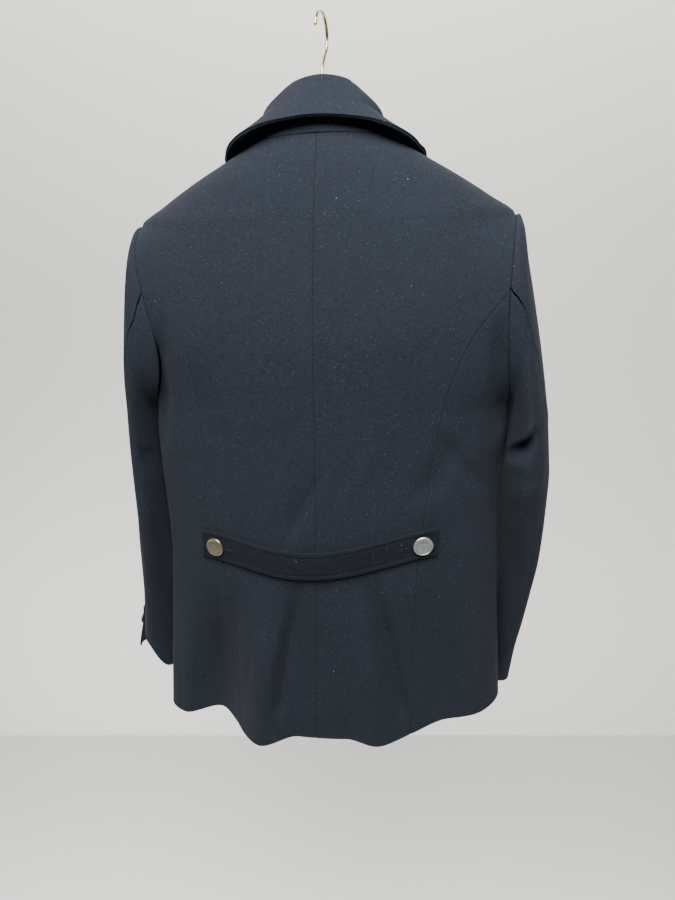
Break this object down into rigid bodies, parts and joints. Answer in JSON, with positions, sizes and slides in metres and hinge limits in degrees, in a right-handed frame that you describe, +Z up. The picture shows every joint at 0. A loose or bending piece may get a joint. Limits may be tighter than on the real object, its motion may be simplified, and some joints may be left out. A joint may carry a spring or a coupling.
{
  "type": "short double-breasted blazer on a hanger",
  "caption": "Short navy wool blazer with a turned-down collar, two-piece sleeves and a half belt across the back, hanging on a plain wooden hanger with a wire hook.",
  "frame": {"origin": "inner top of the hanger's wire crook, where a rail bears on it", "axes": "+Z up, +Y out of the back of the blazer, +X towards the wearer's left"},
  "size_m": [0.5889, 0.2513, 0.8891],
  "materials": {
    "melton": "felted wool twill, matt with a soft nap",
    "button_brass": "aged, satin",
    "button_silver": "satin",
    "hanger_wood": "dark stain, satin",
    "hook_wire": "polished wire"
  },
  "bodies": {
    "root": {"back_left": "melton", "back_right": "melton", "side_left": "melton", "side_right": "melton", "front_left": "melton", "front_right": "melton", "lapel_left": "melton", "lapel_right": "melton", "collar": "melton", "sleeve_upper_left": "melton", "sleeve_upper_right": "melton", "sleeve_under_left": "melton", "sleeve_under_right": "melton", "half_belt": "melton", "belt_button_left": "button_brass", "belt_button_right": "button_silver", "cuff_button_left": "button_silver", "cuff_button_right": "button_silver", "front_button_left_1": "button_silver", "front_button_left_2": "button_silver", "front_button_left_3": "button_silver", "front_button_right_1": "button_silver", "front_button_right_2": "button_silver", "front_button_right_3": "button_silver", "hanger_body": "hanger_wood", "hanger_hook": "hook_wire"}
  },
  "joints": []
}
